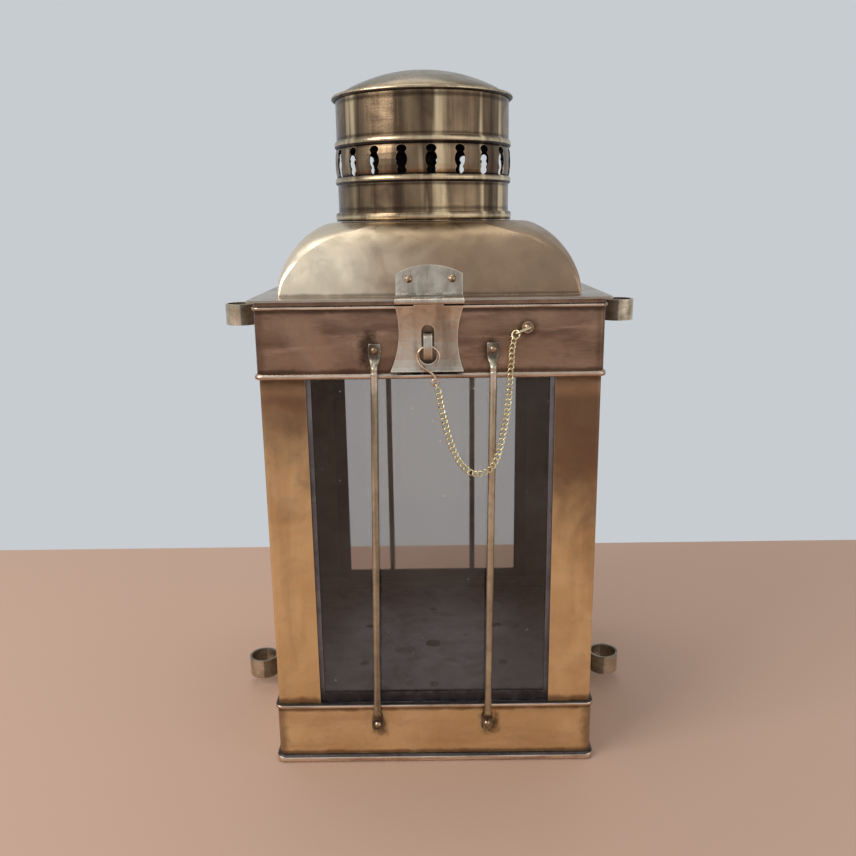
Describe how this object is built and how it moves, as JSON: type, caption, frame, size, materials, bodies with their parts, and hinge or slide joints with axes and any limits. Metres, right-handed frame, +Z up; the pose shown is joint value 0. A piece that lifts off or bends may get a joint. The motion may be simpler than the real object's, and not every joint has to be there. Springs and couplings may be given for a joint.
{
  "type": "square glazed lantern",
  "caption": "Square brass lantern with glazed sides and guard bars, a hinged domed lid with a vented round chimney, and a hasp held by a chained hook.",
  "frame": {"origin": "middle of the resting face, under the foot bead", "axes": "+Z up; -Y is the front, with the hasp; +X to the right seen from the front"},
  "size_m": [0.2774, 0.221, 0.431],
  "materials": {
    "bar_brass": "satin, aged",
    "base_band_brass": "satin, light patina",
    "bead_brass": "polished by wear",
    "chain_brass": "bright",
    "chimney_brass": "spun, vertically streaked patina",
    "eye_brass": "aged, dark inside",
    "floor_bronze": "dark tarnished sheet, satin",
    "glass": "clear, lightly dusty sheet glass",
    "hasp_brass": "satin, worn edges",
    "hook_wire": "bright drawn wire",
    "lid_brass": "satin, grey-brown patina",
    "post_brass": "satin, tarnished towards the ends",
    "rivet_brass": "satin",
    "roof_brass": "hand-beaten satin, mottled patina",
    "tinned_steel": "dull grey tinned sheet",
    "upper_band_brass": "satin, brown patina"
  },
  "bodies": {
    "lantern_body": {"bar_rivets": "rivet_brass", "base_band": "base_band_brass", "base_top_bead": "bead_brass", "chain": "chain_brass", "chain_eyelet": "rivet_brass", "eye_lower_left": "eye_brass", "eye_lower_right": "eye_brass", "eye_rivets": "rivet_brass", "eye_upper_left": "eye_brass", "eye_upper_right": "eye_brass", "floor_plate": "floor_bronze", "foot_bead": "bead_brass", "glass_front": "glass", "glass_left": "glass", "glass_rear": "glass", "glass_right": "glass", "glazing_front": "tinned_steel", "glazing_left": "tinned_steel", "glazing_rear": "tinned_steel", "glazing_right": "tinned_steel", "guard_bar_front_a": "bar_brass", "guard_bar_front_b": "bar_brass", "guard_bar_left_a": "bar_brass", "guard_bar_left_b": "bar_brass", "guard_bar_rear_a": "bar_brass", "guard_bar_rear_b": "bar_brass", "guard_bar_right_a": "bar_brass", "guard_bar_right_b": "bar_brass", "post_front_left": "post_brass", "post_front_right": "post_brass", "post_rear_left": "post_brass", "post_rear_right": "post_brass", "rear_hinge_body_rivets": "rivet_brass", "rear_hinge_left_body_leaf": "hasp_brass", "rear_hinge_right_body_leaf": "hasp_brass", "staple": "hasp_brass", "upper_band": "upper_band_brass", "upper_low_bead": "bead_brass", "upper_top_bead": "bead_brass"},
    "lid": {"chimney_base_ring": "chimney_brass", "chimney_cap": "chimney_brass", "chimney_rim": "chimney_brass", "chimney_tube": "chimney_brass", "hasp_hinge_leaf": "hasp_brass", "hasp_hinge_pin": "hook_wire", "hasp_hinge_rivets": "rivet_brass", "lid_plate": "lid_brass", "rear_hinge_left_lid_leaf": "hasp_brass", "rear_hinge_left_pin": "hook_wire", "rear_hinge_lid_rivets": "rivet_brass", "rear_hinge_right_lid_leaf": "hasp_brass", "rear_hinge_right_pin": "hook_wire", "roof_panel_front": "roof_brass", "roof_panel_left": "roof_brass", "roof_panel_rear": "roof_brass", "roof_panel_right": "roof_brass"},
    "hasp": {"hasp": "hasp_brass"},
    "hook": {"hook": "hook_wire"}
  },
  "joints": [
    {"name": "lid_hinge", "type": "hinge", "parent": "lantern_body", "child": "lid", "pos_m": [0, 0.1071, 0.2951], "axis": [-1, 0, 0], "range_deg": [0, 105]},
    {"name": "hasp_hinge", "type": "hinge", "parent": "lid", "child": "hasp", "pos_m": [0, -0.1071, 0.2951], "axis": [-1, 0, 0], "range_deg": [0, 165]},
    {"name": "hook_turn", "type": "hinge", "parent": "lantern_body", "child": "hook", "pos_m": [-0.001, -0.1072, 0.2636], "axis": [0, -1, 0], "range_deg": [0, 134], "deforming": ["chain"]}
  ]
}
